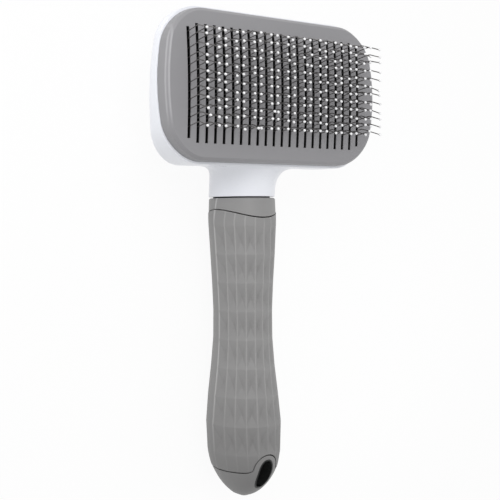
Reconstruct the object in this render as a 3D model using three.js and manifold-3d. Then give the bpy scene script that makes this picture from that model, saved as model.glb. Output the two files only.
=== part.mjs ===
// Self-cleaning slicker brush: bent-wire pins on a fixed board, and a slotted face plate
// that a thumb button on the back pushes out along the pins to strip the hair off them.
//
// Millimetres. The brush lies on its back: +Z points out of the pins, +Y from the handle to
// the head, X across the head. Inside the group, z = 0 is the crown of the face plate and
// y = 0 the middle of the slot field; the group is then lifted so that the button's flat
// back and the belly of the handle rest on z = 0.

import * as THREE from 'three';
import { mergeGeometries, mergeVertices } from 'three/addons/utils/BufferGeometryUtils.js';
import Module from 'manifold-3d';

const wasm = await Module();
wasm.setup();

// ---------------------------------------------------------------- driving dimensions

const seat = 0.1;                 // gap left where two pieces bear on each other
const travel = 10;                // how far the button pushes the face plate out

// head outline: long sides straight, short ends bowed, corners tangent to both
const endRadius = 82;
const cornerRadius = 14;

const slot = { count: 22, pitch: 4, width: 1.3, half: 22.2, outerHalf: 20.6 };

const plate = {
  halfWidth: 51.9, halfHeight: 28.6,
  flare: 0.3,                     // how much wider the skirt is at its open edge
  skirt: 6,                       // depth of the open edge behind the crown
  bevel: 1.2,                     // 45 degree bevel between the face and the skirt
  crown: 0.85,                    // fall of the face from its middle to the slots' ends
  wall: 2, face: 2.2,
};

const pin = {
  rows: 12, rowPitch: 3.18, wire: 0.22,
  rootZ: -9, kneeZ: 6.8, neckZ: 12.4, bellyZ: 12.9, tipZ: 13.5, ball: 0.6,
  rootY: -1.26, kneeY: 1.3, tipY: -0.55,      // places along the slot, from the row's line
  rootX: -0.33, tipX: 0.5,                    // a staple's two legs spread apart
};
const rowsPerBed = 3;
const bed = { top: -8, thick: 1.6, halfWidth: 43.6 };

const board = { top: -9.7, thick: 2.4, halfWidth: 48.2, halfHeight: 27, corner: 12 };
const boardUnder = board.top - board.thick;

const housing = {
  rimTop: -6.1, halfWidth: 52.6, halfHeight: 29.8, wall: 2,
  backZ: -32.7,
  dipPower: 3.7,                  // how late the side walls deepen towards the handle
};

const post = { x: 20, y: 24.1, radius: 2 };
// the lifter frame rises by the travel and stops this far short of the board
const stopGap = 1.7;
const lifter = { top: boardUnder - travel - stopGap, thick: 2 };
const lifterUnder = lifter.top - lifter.thick;
const button = { halfWidth: 17, halfHeight: 13, corner: 9, wall: 1.9, flange: 1.5 };
const spring = { x: 9, radius: 3.3, wire: 0.4, curls: 7, endClimb: 1.3, sides: 5, stepsPerCurl: 8 };

// One pan-head screw in three lengths; pilot holes are a little wider than its shank.
const screw = { head: 1.7, headHigh: 1.4, shank: 0.95, pilot: 1.2 };
const boardScrew = { x: 32, y: 23.4, long: 8 };
const plateScrew = { long: 10 };
const buttonScrew = { y: 8.6, long: 9 };

// handle: oval sections on one straight axis, as distance from the slot field's middle, half
// width, and depth in front of and behind the axis
const handleAxisZ = -25.5;
const handleStations = [
  [36, 13.0, 14.7, 14.6],
  [50, 13.5, 15.3, 15.0],
  [60, 12.9, 15.6, 14.7],
  [72, 12.1, 14.85, 14.35],
  [84, 11.45, 14.2, 14.05],
  [95, 11.2, 13.95, 13.95],
  [107, 11.8, 14.45, 14.9],
  [119, 13.2, 15.5, 16.3],
  [131, 14.6, 16.65, 17.0],
  [138, 14.9, 17.1, 17.1],
  [146, 14.3, 17.1, 16.97],
  [153, 12.7, 16.0, 15.9],
  [158, 10.5, 13.3, 13.3],
  [162, 7.8, 9.6, 9.6],
  [164.6, 4.9, 5.9, 5.9],
  [166.2, 1.6, 1.9, 1.9],
];
const neckEnd = 41.6;
const collar = { start: 42.1, dip: 49.8, sides: 46.4 };
const grip = {
  thick: 1.7, proud: 0.2, groove: 0.5,
  firstRow: 53.5, rowPitch: 11.63, rows: 8,
  columns: 10, columnTurn: 17.4,  // facets across the front, degrees each
  edgeTurn: 93.1,                 // from the middle of the front to the outer facets' edges
  sink: 0.75, sinkAt: 0.54,       // depth of a facet's middle, and how far down the cell it is
  end: 154,
};
const hangHole = { from: 148.5, to: 161.3, halfWidth: 3.5, wall: 0.5, archMargin: 1.8 };
const tang = { halfWidth: 7.5, halfDepth: 8.5, end: 78 };

// ---------------------------------------------------------------- materials

const paint = (color, roughness, metalness = 0) =>
  new THREE.MeshStandardMaterial({ color, roughness, metalness });

const greyPlastic = paint(0x8f8e8d, 0.5);
const whitePlastic = paint(0xe3e6ec, 0.35);
const greyRubber = paint(0x878685, 0.75);
const blackPlastic = paint(0x1b1b1d, 0.6);
const wireSteel = paint(0x6e6f72, 0.3, 0.9);
const springSteel = paint(0xa4a6aa, 0.3, 1);
const screwSteel = paint(0x8b8d90, 0.35, 1);

// ---------------------------------------------------------------- solids

const brush = new THREE.Group();

function solid(geometry) {
  const bare = geometry.index ? geometry.toNonIndexed() : geometry.clone();
  bare.deleteAttribute('normal');
  bare.deleteAttribute('uv');
  const merged = mergeVertices(bare, 1e-4);
  return new wasm.Manifold(new wasm.Mesh({
    numProp: 3,
    vertProperties: new Float32Array(merged.attributes.position.array),
    triVerts: new Uint32Array(merged.index.array),
  }));
}

function addPiece(name, form, material) {
  const mesh = form.getMesh();
  const geometry = new THREE.BufferGeometry();
  geometry.setAttribute('position', new THREE.BufferAttribute(mesh.vertProperties, 3));
  geometry.setIndex(new THREE.BufferAttribute(mesh.triVerts, 1));
  geometry.computeVertexNormals();
  const piece = new THREE.Mesh(geometry, material);
  piece.name = name;
  brush.add(piece);
  return piece;
}

// A closed skin over rings of equal length, each ring counter-clockwise seen from the end
// that the rings run towards.
function loft(rings) {
  const points = rings.flat();
  const n = rings[0].length;
  const faces = [];
  for (let r = 0; r + 1 < rings.length; r++) {
    for (let i = 0; i < n; i++) {
      const a = r * n + i;
      const b = r * n + (i + 1) % n;
      faces.push(a, b, b + n, a, b + n, a + n);
    }
  }
  const last = points.length - n;
  for (const [start, flip] of [[0, true], [last, false]]) {
    const middle = new THREE.Vector3();
    for (let i = 0; i < n; i++) middle.addScaledVector(points[start + i], 1 / n);
    points.push(middle);
    for (let i = 0; i < n; i++) {
      const a = start + i;
      const b = start + (i + 1) % n;
      faces.push(points.length - 1, flip ? b : a, flip ? a : b);
    }
  }
  const geometry = new THREE.BufferGeometry().setFromPoints(points);
  geometry.setIndex(faces);
  return solid(geometry);
}

function rod(x, y, bottom, top, radius, sides = 12, topRadius = radius) {
  const geometry = new THREE.CylinderGeometry(topRadius, radius, top - bottom, sides);
  geometry.rotateX(Math.PI / 2);
  geometry.translate(x, y, (top + bottom) / 2);
  return solid(geometry);
}

// A flat outline in x and y, pulled up from bottom to top.
function prism(shape, bottom, top, curveSegments = 6) {
  const geometry = new THREE.ExtrudeGeometry(shape, {
    depth: top - bottom, bevelEnabled: false, curveSegments,
  });
  geometry.translate(0, 0, bottom);
  return solid(geometry);
}

function capsule(x, y0, y1, radius) {
  const shape = new THREE.Shape();
  shape.absarc(x, y1 - radius, radius, 0, Math.PI);
  shape.absarc(x, y0 + radius, radius, Math.PI, 2 * Math.PI);
  shape.closePath();
  return shape;
}

function roundedBox(halfWidth, halfHeight, corner) {
  const shape = new THREE.Shape();
  const w = halfWidth - corner;
  const h = halfHeight - corner;
  shape.absarc(w, h, corner, 0, Math.PI / 2);
  shape.absarc(-w, h, corner, Math.PI / 2, Math.PI);
  shape.absarc(-w, -h, corner, Math.PI, Math.PI * 1.5);
  shape.absarc(w, -h, corner, Math.PI * 1.5, Math.PI * 2);
  shape.closePath();
  return shape;
}

const union = (forms) => forms.reduce((all, form) => all.add(form));
const bothSigns = (visit) => [-1, 1].flatMap((sx) => [-1, 1].map((sy) => visit(sx, sy)));

// ---------------------------------------------------------------- head outline

// One ring of the head at height z: a quarter is an end arc and a tangent corner arc, and the
// other three quarters are its mirror images.
function headRing(halfWidth, halfHeight, z, corner = cornerRadius, bow = endRadius) {
  const endSteps = 3;
  const cornerSteps = 5;
  const endX = halfWidth - bow;
  const cornerY = halfHeight - corner;
  const cornerX = endX + Math.sqrt((bow - corner) ** 2 - cornerY ** 2);
  const meet = Math.atan2(cornerY, cornerX - endX);
  const quarter = [];
  for (let i = 0; i < endSteps; i++) {
    const a = (meet * i) / endSteps;
    quarter.push([endX + bow * Math.cos(a), bow * Math.sin(a)]);
  }
  for (let i = 0; i <= cornerSteps; i++) {
    const a = meet + ((Math.PI / 2 - meet) * i) / cornerSteps;
    quarter.push([cornerX + corner * Math.cos(a), cornerY + corner * Math.sin(a)]);
  }
  const half = [...quarter, ...quarter.toReversed().map(([x, y]) => [-x, y])];
  const rest = half.slice(1, -1).map(([x, y]) => [-x, -y]);
  return [...half, ...rest].map(([x, y]) => new THREE.Vector3(x, y, z));
}

// ---------------------------------------------------------------- face plate

const columnX = (column) => (column - (slot.count - 1) / 2) * slot.pitch;

const crownFall = (y) => plate.crown * (y / slot.half) ** 2;

// Everything under the crown: a section across the head, pulled along X.
function underCrown(depth) {
  const reach = plate.halfHeight + 3;
  const section = new THREE.Shape();
  section.moveTo(-reach, -depth);
  section.lineTo(reach, -depth);
  const steps = 10;
  for (let i = 0; i <= steps; i++) {
    const y = reach - (2 * reach * i) / steps;
    section.lineTo(y, -crownFall(y));
  }
  const long = 2 * plate.halfWidth + 10;
  const geometry = new THREE.ExtrudeGeometry(section, { depth: long, bevelEnabled: false });
  geometry.translate(0, 0, -long / 2);
  geometry.applyMatrix4(new THREE.Matrix4().makeBasis(
    new THREE.Vector3(0, 1, 0), new THREE.Vector3(0, 0, 1), new THREE.Vector3(1, 0, 0)));
  return solid(geometry);
}

function facePlate() {
  const { halfWidth: w, halfHeight: h, flare, skirt, bevel, wall, face } = plate;
  const over = 1;                 // how far the bevel runs on above the crown before the cut
  const crowned = (ring) => ring.map((p) => p.setZ(p.z - crownFall(p.y)));
  const cap = loft([
    headRing(w + flare, h + flare, -skirt),
    crowned(headRing(w, h, -bevel)),
    crowned(headRing(w - bevel - over, h - bevel - over, over)),
  ]);
  const hollow = loft([
    headRing(w + flare - wall, h + flare - wall, -skirt - 1, cornerRadius - wall),
    headRing(w - wall, h - wall, -plate.crown - face, cornerRadius - wall),
  ]);
  let form = cap.intersect(underCrown(skirt + 5)).subtract(hollow);
  const posts = bothSigns((sx, sy) =>
    rod(sx * post.x, sy * post.y, lifter.top + seat, -face, post.radius, 10));
  form = union([form, ...posts]);
  const pilots = bothSigns((sx, sy) => rod(sx * post.x, sy * post.y,
    lifter.top - 1, lifter.top + plateScrew.long - 1, screw.pilot, 8));
  const slots = [];
  for (let i = 0; i < slot.count; i++) {
    const outer = i === 0 || i === slot.count - 1;
    const half = outer ? slot.outerHalf : slot.half;
    const shape = capsule(columnX(i), -half, half, slot.width / 2);
    slots.push(prism(shape, -face - 4, 2, 2));
  }
  return form.subtract(union(slots)).subtract(union(pilots));
}

// ---------------------------------------------------------------- pins and their board

// One bent wire with its ball tip: level triangles along the wire, closed to a point.
function pinRings(column, rowY) {
  const outward = column % 2 === 0 ? -1 : 1;   // legs of a staple lean apart
  const x = columnX(column);
  const spread = (z) => outward * THREE.MathUtils.mapLinear(z, pin.rootZ, pin.tipZ, pin.rootX, pin.tipX);
  const bendBack = (z) => THREE.MathUtils.mapLinear(z, pin.kneeZ, pin.tipZ, pin.kneeY, pin.tipY);
  const rings = [
    [pin.rootY, pin.rootZ, pin.wire],
    [pin.kneeY, pin.kneeZ, pin.wire],
    [bendBack(pin.neckZ), pin.neckZ, pin.wire],
    [bendBack(pin.bellyZ), pin.bellyZ, pin.ball],
  ].map(([dy, z, radius]) => [0, 1, 2].map((k) => {
    const a = Math.PI / 2 + (k * 2 * Math.PI) / 3;
    return new THREE.Vector3(
      x + spread(z) + radius * Math.cos(a), rowY + dy + radius * Math.sin(a), z);
  }));
  return { rings, tip: new THREE.Vector3(x + spread(pin.tipZ), rowY + pin.tipY, pin.tipZ) };
}

function pinGeometry(column, rowY) {
  const { rings, tip } = pinRings(column, rowY);
  const points = [...rings.flat(), tip];
  const faces = [2, 1, 0];
  for (let r = 0; r + 1 < rings.length; r++) {
    for (let k = 0; k < 3; k++) {
      const a = r * 3 + k;
      const b = r * 3 + (k + 1) % 3;
      faces.push(a, b, b + 3, a, b + 3, a + 3);
    }
  }
  const top = points.length - 4;
  for (let k = 0; k < 3; k++) faces.push(top + k, top + (k + 1) % 3, points.length - 1);
  const geometry = new THREE.BufferGeometry().setFromPoints(points);
  geometry.setIndex(faces);
  return geometry;
}

const rowLine = (row) => (row - (pin.rows - 1) / 2) * pin.rowPitch - pin.rootY;

// A strip of the backing with three rows of pins fused to it.
function pinBed(index) {
  const strip = rowsPerBed * pin.rowPitch;
  const y0 = (index - pin.rows / rowsPerBed / 2) * strip;
  const backing = new THREE.BoxGeometry(2 * bed.halfWidth, strip - seat, bed.thick);
  backing.translate(0, y0 + strip / 2, bed.top - bed.thick / 2);
  const pins = [];
  for (let r = 0; r < rowsPerBed; r++) {
    const y = rowLine(index * rowsPerBed + r);
    for (let c = 0; c < slot.count; c++) pins.push(pinGeometry(c, y));
  }
  return solid(mergeGeometries(pins)).add(solid(backing));
}

function pinBoard() {
  const { top, thick, halfWidth, halfHeight, corner } = board;
  const low = boardUnder;
  const slab = loft([
    headRing(halfWidth, halfHeight, low, corner),
    headRing(halfWidth, halfHeight, top, corner),
  ]);
  // pegs that hold the springs' upper ends
  const pegs = [-1, 1].map((s) => rod(s * spring.x, 0, low - 2.5, low + 0.5, 1.9, 10, 2.3));
  const notches = bothSigns((sx, sy) => union([
    rod(sx * post.x, sy * post.y, low - 1, top + 1, post.radius + 0.5, 12),
    solid(new THREE.BoxGeometry(2 * post.radius + 1, 6, thick + 2)
      .translate(sx * post.x, sy * (post.y + 3), top - thick / 2)),
  ]));
  const holes = bothSigns((sx, sy) =>
    rod(sx * boardScrew.x, sy * boardScrew.y, low - 1, top + 1, screw.pilot, 8));
  return union([slab, ...pegs]).subtract(union([...notches, ...holes]));
}

// ---------------------------------------------------------------- rear housing with neck

// Levels of the housing from its rim to its back: height, how far the width and the height
// draw in, corner radius, and how much deeper the level lies at the handle's side.
const housingLevels = [
  [housing.rimTop, 0, 0, cornerRadius, 0],
  [-9, 0, 0, cornerRadius, 8.5],
  [-12, 1, 0.2, 12, 8],
  [-17.5, 7, 0.4, 12, 6],
  [-24.5, 13.8, 0.6, 12, 3],
  [-28.8, 18.5, 1, 11.5, 1],
  [-31.6, 23.5, 3.2, 11, 0.4],
  [housing.backZ, 27, 6.2, 10, 0],
];

// The outer form, or the cavity inside it: inset from the walls, open at the rim, and lifted
// off the back by the same wall.
function housingLoft(inset) {
  const { rimTop, backZ, halfWidth, halfHeight, dipPower } = housing;
  const rings = housingLevels.map(([z, inX, inY, corner, dip], i) => {
    const depth = (rimTop - z) / (rimTop - backZ);
    const height = i === 0 ? z + inset : z + inset * depth ** 6;
    const ring = headRing(halfWidth - inX - inset, halfHeight - inY - inset, height,
      corner - inset, endRadius - inset);
    const toHandle = (y) => (halfHeight - y) / (2 * halfHeight);
    return ring.map((p) => p.setZ(p.z - dip * toHandle(p.y) ** dipPower));
  });
  return loft(rings.toReversed());
}

const handleProfile = new THREE.CubicInterpolant(
  handleStations.map(([s]) => s),
  handleStations.flatMap(([, ...sizes]) => sizes), 3);

// A point of the handle's skin at distance s, grown outwards; angles run from +X over +Z.
function handlePoint(s, grow, angle) {
  const [wide, front, back] = handleProfile.evaluate(s);
  const deep = Math.sin(angle) > 0 ? front : back;
  return new THREE.Vector3((wide + grow) * Math.cos(angle), -s,
    handleAxisZ + (deep + grow) * Math.sin(angle));
}

const handleRing = (s, grow, sides) =>
  Array.from({ length: sides }, (_, i) => handlePoint(s, grow, (2 * Math.PI * i) / sides));

const handleLoft = (stations, grow, sides) =>
  loft(stations.map((s) => handleRing(s, grow, sides)));

// The neck flares into the head: stations as distance, half width, front and back heights.
function neckLoft() {
  const stations = [
    [neckEnd, 13.2, -10.8, -40.2],
    [36, 13.3, -10.2, -39.8],
    [33, 14.2, -9.7, -39.2],
    [31, 16.2, -9.3, -38.5],
    [29.2, 19.6, -9, -37.7],
    [25, 22, -9, -36.3],
    [19, 20, -9.6, -34.6],
    [13.6, 16, -12, -32.9],
  ];
  const sides = 24;
  return loft(stations.toReversed().map(([s, a, front, back]) =>
    Array.from({ length: sides }, (_, i) => {
      const t = (2 * Math.PI * i) / sides;
      const b = (front - back) / 2;
      return new THREE.Vector3(a * Math.cos(t), -s, (front + back) / 2 + b * Math.sin(t));
    })));
}

function tangForm(grow) {
  const shape = roundedBox(tang.halfWidth + grow, tang.halfDepth + grow, 3.5);
  const geometry = new THREE.ExtrudeGeometry(shape, {
    depth: tang.end - neckEnd + 6 + grow, bevelEnabled: false, curveSegments: 3,
  });
  geometry.rotateX(Math.PI / 2);
  geometry.translate(0, 6 - neckEnd, handleAxisZ);
  return solid(geometry);
}

function rearHousing() {
  const shell = housingLoft(0).add(neckLoft()).add(tangForm(0));
  const well = prism(roundedBox(button.halfWidth + 0.5, button.halfHeight + 0.5,
    button.corner + 0.5), housing.backZ - 8, -20, 5);
  const bosses = bothSigns((sx, sy) => rod(sx * boardScrew.x, sy * boardScrew.y,
    housing.backZ, boardUnder - seat, 2.6, 10, 2.3));
  const pilots = bothSigns((sx, sy) => rod(
    sx * boardScrew.x, sy * boardScrew.y, board.top - boardScrew.long - 0.6, 0, screw.pilot, 8));
  // ribs that stand the bowed ends up and carry the board there
  const rib = { long: 14, thick: 1.4, high: 16, x: 42, y: 9 };
  const ribs = bothSigns((sx, sy) => solid(new THREE.BoxGeometry(rib.long, rib.thick, rib.high)
    .translate(sx * rib.x, sy * rib.y, boardUnder - seat - rib.high / 2)));
  const cavity = housingLoft(housing.wall);
  const outside = housingLoft(0.4);
  const inner = union([...bosses, ...ribs]).intersect(outside);
  return shell.subtract(cavity).subtract(well).add(inner).subtract(union(pilots));
}

// ---------------------------------------------------------------- button, lifter, springs

// The brush lies on the button's back and on the fullest part of the handle.
const restStation = 138;
const buttonBack = handleAxisZ - handleProfile.evaluate(restStation)[2] - grip.proud;

function roundedRing(halfWidth, halfHeight, corner, z) {
  const points = roundedBox(halfWidth, halfHeight, corner).getPoints(5);
  const unique = points.filter((p, i) => p.distanceTo(points[(i + 1) % points.length]) > 1e-3);
  return unique.map((p) => new THREE.Vector3(p.x, p.y, z));
}

function thumbButton() {
  const { halfWidth: w, halfHeight: h, corner, wall, flange } = button;
  const floor = housing.backZ + housing.wall + seat;     // the flange lands here
  const ring = (inset, z) => roundedRing(w - inset, h - inset, corner - inset, z);
  const outer = loft([ring(1.5, buttonBack), ring(0.45, buttonBack + 0.6),
    ring(0, buttonBack + 2), ring(0, floor + flange)]);
  const lip = loft([ring(-1.5, floor), ring(-1.5, floor + flange)]);
  const hollow = loft([ring(wall, buttonBack + 2.2), ring(wall, floor + flange + 1)]);
  const bosses = [-1, 1].map((s) =>
    rod(0, s * buttonScrew.y, buttonBack + 1, lifterUnder - seat, 2.3, 10));
  const pilots = [-1, 1].map((s) =>
    rod(0, s * buttonScrew.y, lifter.top - buttonScrew.long - 1, lifter.top, screw.pilot, 8));
  const pegs = [-1, 1].map((s) =>
    rod(s * spring.x, 0, buttonBack + 1, buttonBack + 5, 2.3, 10, 1.9));
  // shallow grooves across the thumb face, clear of the flat middle
  const grooves = [-9, -6.5, 6.5, 9].map((y) => solid(new THREE.CapsuleGeometry(0.8, 14, 2, 6)
    .rotateZ(Math.PI / 2).translate(0, y, buttonBack)));
  return outer.add(lip).subtract(hollow).add(union([...bosses, ...pegs]))
    .subtract(union([...pilots, ...grooves]));
}

// The frame that joins the button to the four posts of the face plate.
function lifterFrame() {
  const { top, thick } = lifter;
  const middle = prism(roundedBox(17, 12, 4), top - thick, top, 3);
  const bars = [-1, 1].map((s) =>
    prism(capsule(s * post.x, -post.y - 1.4, post.y + 1.4, 3), top - thick, top, 4));
  const cross = solid(new THREE.BoxGeometry(2 * post.x, 9, thick)
    .translate(0, 0, top - thick / 2));
  const ribs = [-1, 1].flatMap((sx) => [-1, 1].map((sy) =>
    solid(new THREE.BoxGeometry(9, 1.4, 1.6).translate(sx * 16, sy * 3.6, top + 0.6))));
  const springHoles = [-1, 1].map((s) => rod(
    s * spring.x, 0, top - thick - 1, top + 3, spring.radius + spring.wire + 0.8, 14));
  const buttonHoles = [-1, 1].map((s) =>
    rod(0, s * buttonScrew.y, top - thick - 1, top + 1, screw.pilot, 8));
  const postHoles = bothSigns((sx, sy) =>
    rod(sx * post.x, sy * post.y, top - thick - 1, top + 1, screw.pilot, 8));
  return union([middle, cross, ...bars, ...ribs])
    .subtract(union([...springHoles, ...buttonHoles, ...postHoles]));
}

// A helical compression spring: one unbroken tube whose end turns lie almost flat.
function springPoints() {
  const low = buttonBack + 2.2 + seat + spring.wire;
  const high = boardUnder - seat - spring.wire;
  const steps = spring.curls * spring.stepsPerCurl;
  return Array.from({ length: steps + 1 }, (_, i) => {
    const turn = i / spring.stepsPerCurl;
    const middle = THREE.MathUtils.clamp((turn - 1) / (spring.curls - 2), 0, 1);
    const ends = Math.min(turn, 1) + Math.max(turn - spring.curls + 1, 0);
    const z = low + spring.endClimb * ends + (high - low - 2 * spring.endClimb) * middle;
    const a = turn * 2 * Math.PI;
    return new THREE.Vector3(spring.radius * Math.cos(a), spring.radius * Math.sin(a), z);
  });
}

function springForm(x) {
  const points = springPoints();
  const centre = new THREE.Vector3();
  const rings = points.map((p, i) => {
    const ahead = points[Math.min(i + 1, points.length - 1)];
    const behind = points[Math.max(i - 1, 0)];
    const along = ahead.clone().sub(behind).normalize();
    const out = p.clone().sub(centre.set(0, 0, p.z)).normalize();
    const side = along.clone().cross(out).normalize();
    return Array.from({ length: spring.sides }, (_, k) => {
      const a = (2 * Math.PI * k) / spring.sides;
      return p.clone()
        .addScaledVector(out, spring.wire * Math.cos(a))
        .addScaledVector(side, spring.wire * Math.sin(a))
        .add(new THREE.Vector3(x, 0, 0));
    });
  });
  return loft(rings);
}

// Least gap between turns: centre lines at least half a turn apart, less the wire.
function springGap() {
  const points = springPoints();
  const apart = spring.stepsPerCurl / 2;
  let least = Infinity;
  for (let i = 0; i < points.length; i++) {
    for (let j = i + apart; j < points.length; j++) {
      least = Math.min(least, points[i].distanceTo(points[j]));
    }
  }
  return least - 2 * spring.wire;
}

// ---------------------------------------------------------------- screws

// A pan-head screw with its seat at z, its head towards +Z when up is 1.
function screwForm(x, y, z, long, up) {
  const { head, headHigh, shank } = screw;
  const profile = [[0, -long], [shank, -long], [shank, 0], [head, 0], [head * 0.75, headHigh],
    [0, headHigh]];
  const geometry = new THREE.LatheGeometry(profile.map(([r, h]) => new THREE.Vector2(r, h)), 8);
  geometry.rotateX((up * Math.PI) / 2);
  geometry.translate(x, y, z);
  return solid(geometry);
}

// ---------------------------------------------------------------- handle

// Everything towards the head from the collar's lower edge, whose middle dips.
function collarZone(extra) {
  const reach = 20;
  const edge = (x) => -collar.dip + (collar.dip - collar.sides) * (x / 13.6) ** 2 - extra;
  const shape = new THREE.Shape();
  shape.moveTo(reach, -30);
  shape.lineTo(-reach, -30);
  const steps = 12;
  for (let i = 0; i <= steps; i++) {
    const x = -reach + (2 * reach * i) / steps;
    shape.lineTo(x, Math.min(edge(x), -31));
  }
  return prism(shape, -60, 10);
}

// Everything past the grip's lower edge, which arches over the hang hole.
function heelZone(extra) {
  const reach = 22;
  const arc = hangHole.halfWidth + hangHole.archMargin + extra;
  const top = hangHole.from + hangHole.halfWidth;
  const end = grip.end - extra;
  const shape = new THREE.Shape();
  shape.moveTo(-reach, -end);
  shape.lineTo(-arc - 3.4, -end);
  shape.quadraticCurveTo(-arc - 0.6, -end, -arc, -top);
  shape.absarc(0, -top, arc, Math.PI, 0, true);
  shape.quadraticCurveTo(arc + 0.6, -end, arc + 3.4, -end);
  shape.lineTo(reach, -end);
  shape.lineTo(reach, -190);
  shape.lineTo(-reach, -190);
  return prism(shape, -60, 10, 5);
}

const heelStations = [140, 146, 151, 155, 158.5, 161.5, 164, 165.5, 166.2];
const coreStations = [44, 60, 80, 95, 110, 122, 131, 138, 145, 152, 157];
const holeForm = (grow) => prism(capsule(0, -hangHole.to - grow, -hangHole.from + grow,
  hangHole.halfWidth + grow), -60, 10, 8);

function handleCore() {
  const inside = handleLoft(coreStations, -grip.thick, 16);
  const collarPart = handleLoft([collar.start, 46, 52], 0, 28).intersect(collarZone(0));
  const heelPart = handleLoft(heelStations, 0, 28).intersect(heelZone(0));
  return union([inside, collarPart, heelPart])
    .subtract(holeForm(seat)).subtract(tangForm(0.2));
}

// Angles of the grip's ridges: facets across the front, plain steps round the back.
function gripAngles() {
  const half = grip.columns / 2;
  const degrees = Array.from({ length: half }, (_, i) => i * grip.columnTurn);
  degrees.push(grip.edgeTurn);
  const backSteps = 10;
  for (let i = 1; i < backSteps; i++) {
    degrees.push(grip.edgeTurn + ((360 - 2 * grip.edgeTurn) * i) / backSteps);
  }
  degrees.unshift(...degrees.slice(1, half + 1).map((angle) => -angle).toReversed());
  return degrees.map((angle) => THREE.MathUtils.degToRad(90 + angle));
}

// The faceted sleeve: every cell between two rows and two ridges is four triangles that meet
// at its middle, sunk below the surface on the front and on the surface round the back.
function gripSkin() {
  const angles = gripAngles();
  const rows = [collar.sides - 2];
  for (let r = 0; r <= grip.rows; r++) rows.push(grip.firstRow + r * grip.rowPitch);
  rows.push(grip.end + 3);
  const at = (s, angle, sink) => handlePoint(s, grip.proud - sink, angle);
  const n = angles.length;
  const points = rows.flatMap((s) => angles.map((angle) => at(s, angle, 0)));
  const faces = [];
  for (let r = 0; r + 1 < rows.length; r++) {
    const plainRow = r === 0 || r === rows.length - 2;
    for (let i = 0; i < n; i++) {
      const j = (i + 1) % n;
      const facet = i < grip.columns && !plainRow;
      const wrap = j === 0 ? 2 * Math.PI : 0;
      const angle = (angles[i] + angles[j] + wrap) / 2;
      const s = THREE.MathUtils.lerp(rows[r], rows[r + 1], facet ? grip.sinkAt : 0.5);
      const middle = points.push(at(s, angle, facet ? grip.sink : 0)) - 1;
      const [a, b, c, d] = [r * n + i, r * n + j, (r + 1) * n + j, (r + 1) * n + i];
      faces.push(a, b, middle, b, c, middle, c, d, middle, d, a, middle);
    }
  }
  for (const [row, flip] of [[0, true], [rows.length - 1, false]]) {
    const middle = points.push(new THREE.Vector3(0, -rows[row], handleAxisZ)) - 1;
    for (let i = 0; i < n; i++) {
      const a = row * n + i;
      const b = row * n + ((i + 1) % n);
      faces.push(middle, flip ? b : a, flip ? a : b);
    }
  }
  const geometry = new THREE.BufferGeometry().setFromPoints(points);
  geometry.setIndex(faces);
  return solid(geometry);
}

function gripSleeve() {
  const bore = handleLoft(coreStations, seat - grip.thick, 16);
  return gripSkin().subtract(bore)
    .subtract(collarZone(grip.groove)).subtract(heelZone(grip.groove));
}

function hangEyelet() {
  const tube = holeForm(0).subtract(holeForm(-hangHole.wall));
  return tube.intersect(handleLoft(heelStations, 0.15, 28));
}

// ---------------------------------------------------------------- assembly

addPiece('face_plate', facePlate(), greyPlastic);
addPiece('pin_board', pinBoard(), blackPlastic);
for (let i = 0; i < pin.rows / rowsPerBed; i++) {
  addPiece(`pin_bed_${i + 1}`, pinBed(i), wireSteel);
}
addPiece('rear_housing', rearHousing(), whitePlastic);
addPiece('thumb_button', thumbButton(), greyPlastic);
addPiece('lifter_frame', lifterFrame(), blackPlastic);
addPiece('return_spring_left', springForm(-spring.x), springSteel);
addPiece('return_spring_right', springForm(spring.x), springSteel);
console.log(`least gap between spring turns: ${springGap().toFixed(2)} mm`);

bothSigns((sx, sy) => [sx, sy]).forEach(([sx, sy], i) => {
  addPiece(`board_screw_${i + 1}`, screwForm(sx * boardScrew.x, sy * boardScrew.y,
    board.top + seat, boardScrew.long, 1), screwSteel);
  addPiece(`plate_screw_${i + 1}`, screwForm(sx * post.x, sy * post.y,
    lifterUnder - seat, plateScrew.long, -1), screwSteel);
});
[-1, 1].forEach((s, i) => {
  addPiece(`button_screw_${i + 1}`, screwForm(0, s * buttonScrew.y,
    lifter.top + seat, buttonScrew.long, 1), screwSteel);
});

addPiece('handle_core', handleCore(), greyPlastic);
addPiece('grip_sleeve', gripSleeve(), greyRubber);
addPiece('hang_eyelet', hangEyelet(), blackPlastic);

// the middle of the footprint becomes the origin
const headTop = housing.halfHeight;
const handleTip = handleStations.at(-1)[0];
brush.position.set(0, (handleTip - headTop) / 2, -buttonBack);

export default brush;
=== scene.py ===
import math
import random

import bmesh
import bpy
from mathutils import Matrix, Vector


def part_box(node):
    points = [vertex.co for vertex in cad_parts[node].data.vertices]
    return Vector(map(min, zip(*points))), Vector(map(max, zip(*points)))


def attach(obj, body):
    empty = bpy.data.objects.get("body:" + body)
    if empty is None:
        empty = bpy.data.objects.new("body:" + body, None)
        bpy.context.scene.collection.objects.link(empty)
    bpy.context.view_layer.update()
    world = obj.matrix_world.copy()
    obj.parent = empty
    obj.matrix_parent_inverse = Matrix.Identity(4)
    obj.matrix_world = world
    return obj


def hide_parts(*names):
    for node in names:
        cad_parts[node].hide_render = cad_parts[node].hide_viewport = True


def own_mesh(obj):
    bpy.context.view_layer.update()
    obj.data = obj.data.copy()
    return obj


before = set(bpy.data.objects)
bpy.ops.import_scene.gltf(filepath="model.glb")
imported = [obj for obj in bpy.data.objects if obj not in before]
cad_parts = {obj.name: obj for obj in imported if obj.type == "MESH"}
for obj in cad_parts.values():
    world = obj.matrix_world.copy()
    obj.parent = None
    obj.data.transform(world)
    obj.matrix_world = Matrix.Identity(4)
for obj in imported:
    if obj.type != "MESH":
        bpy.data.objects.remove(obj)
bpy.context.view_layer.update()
print("frame loaded:", len(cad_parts), "nodes")

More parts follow.
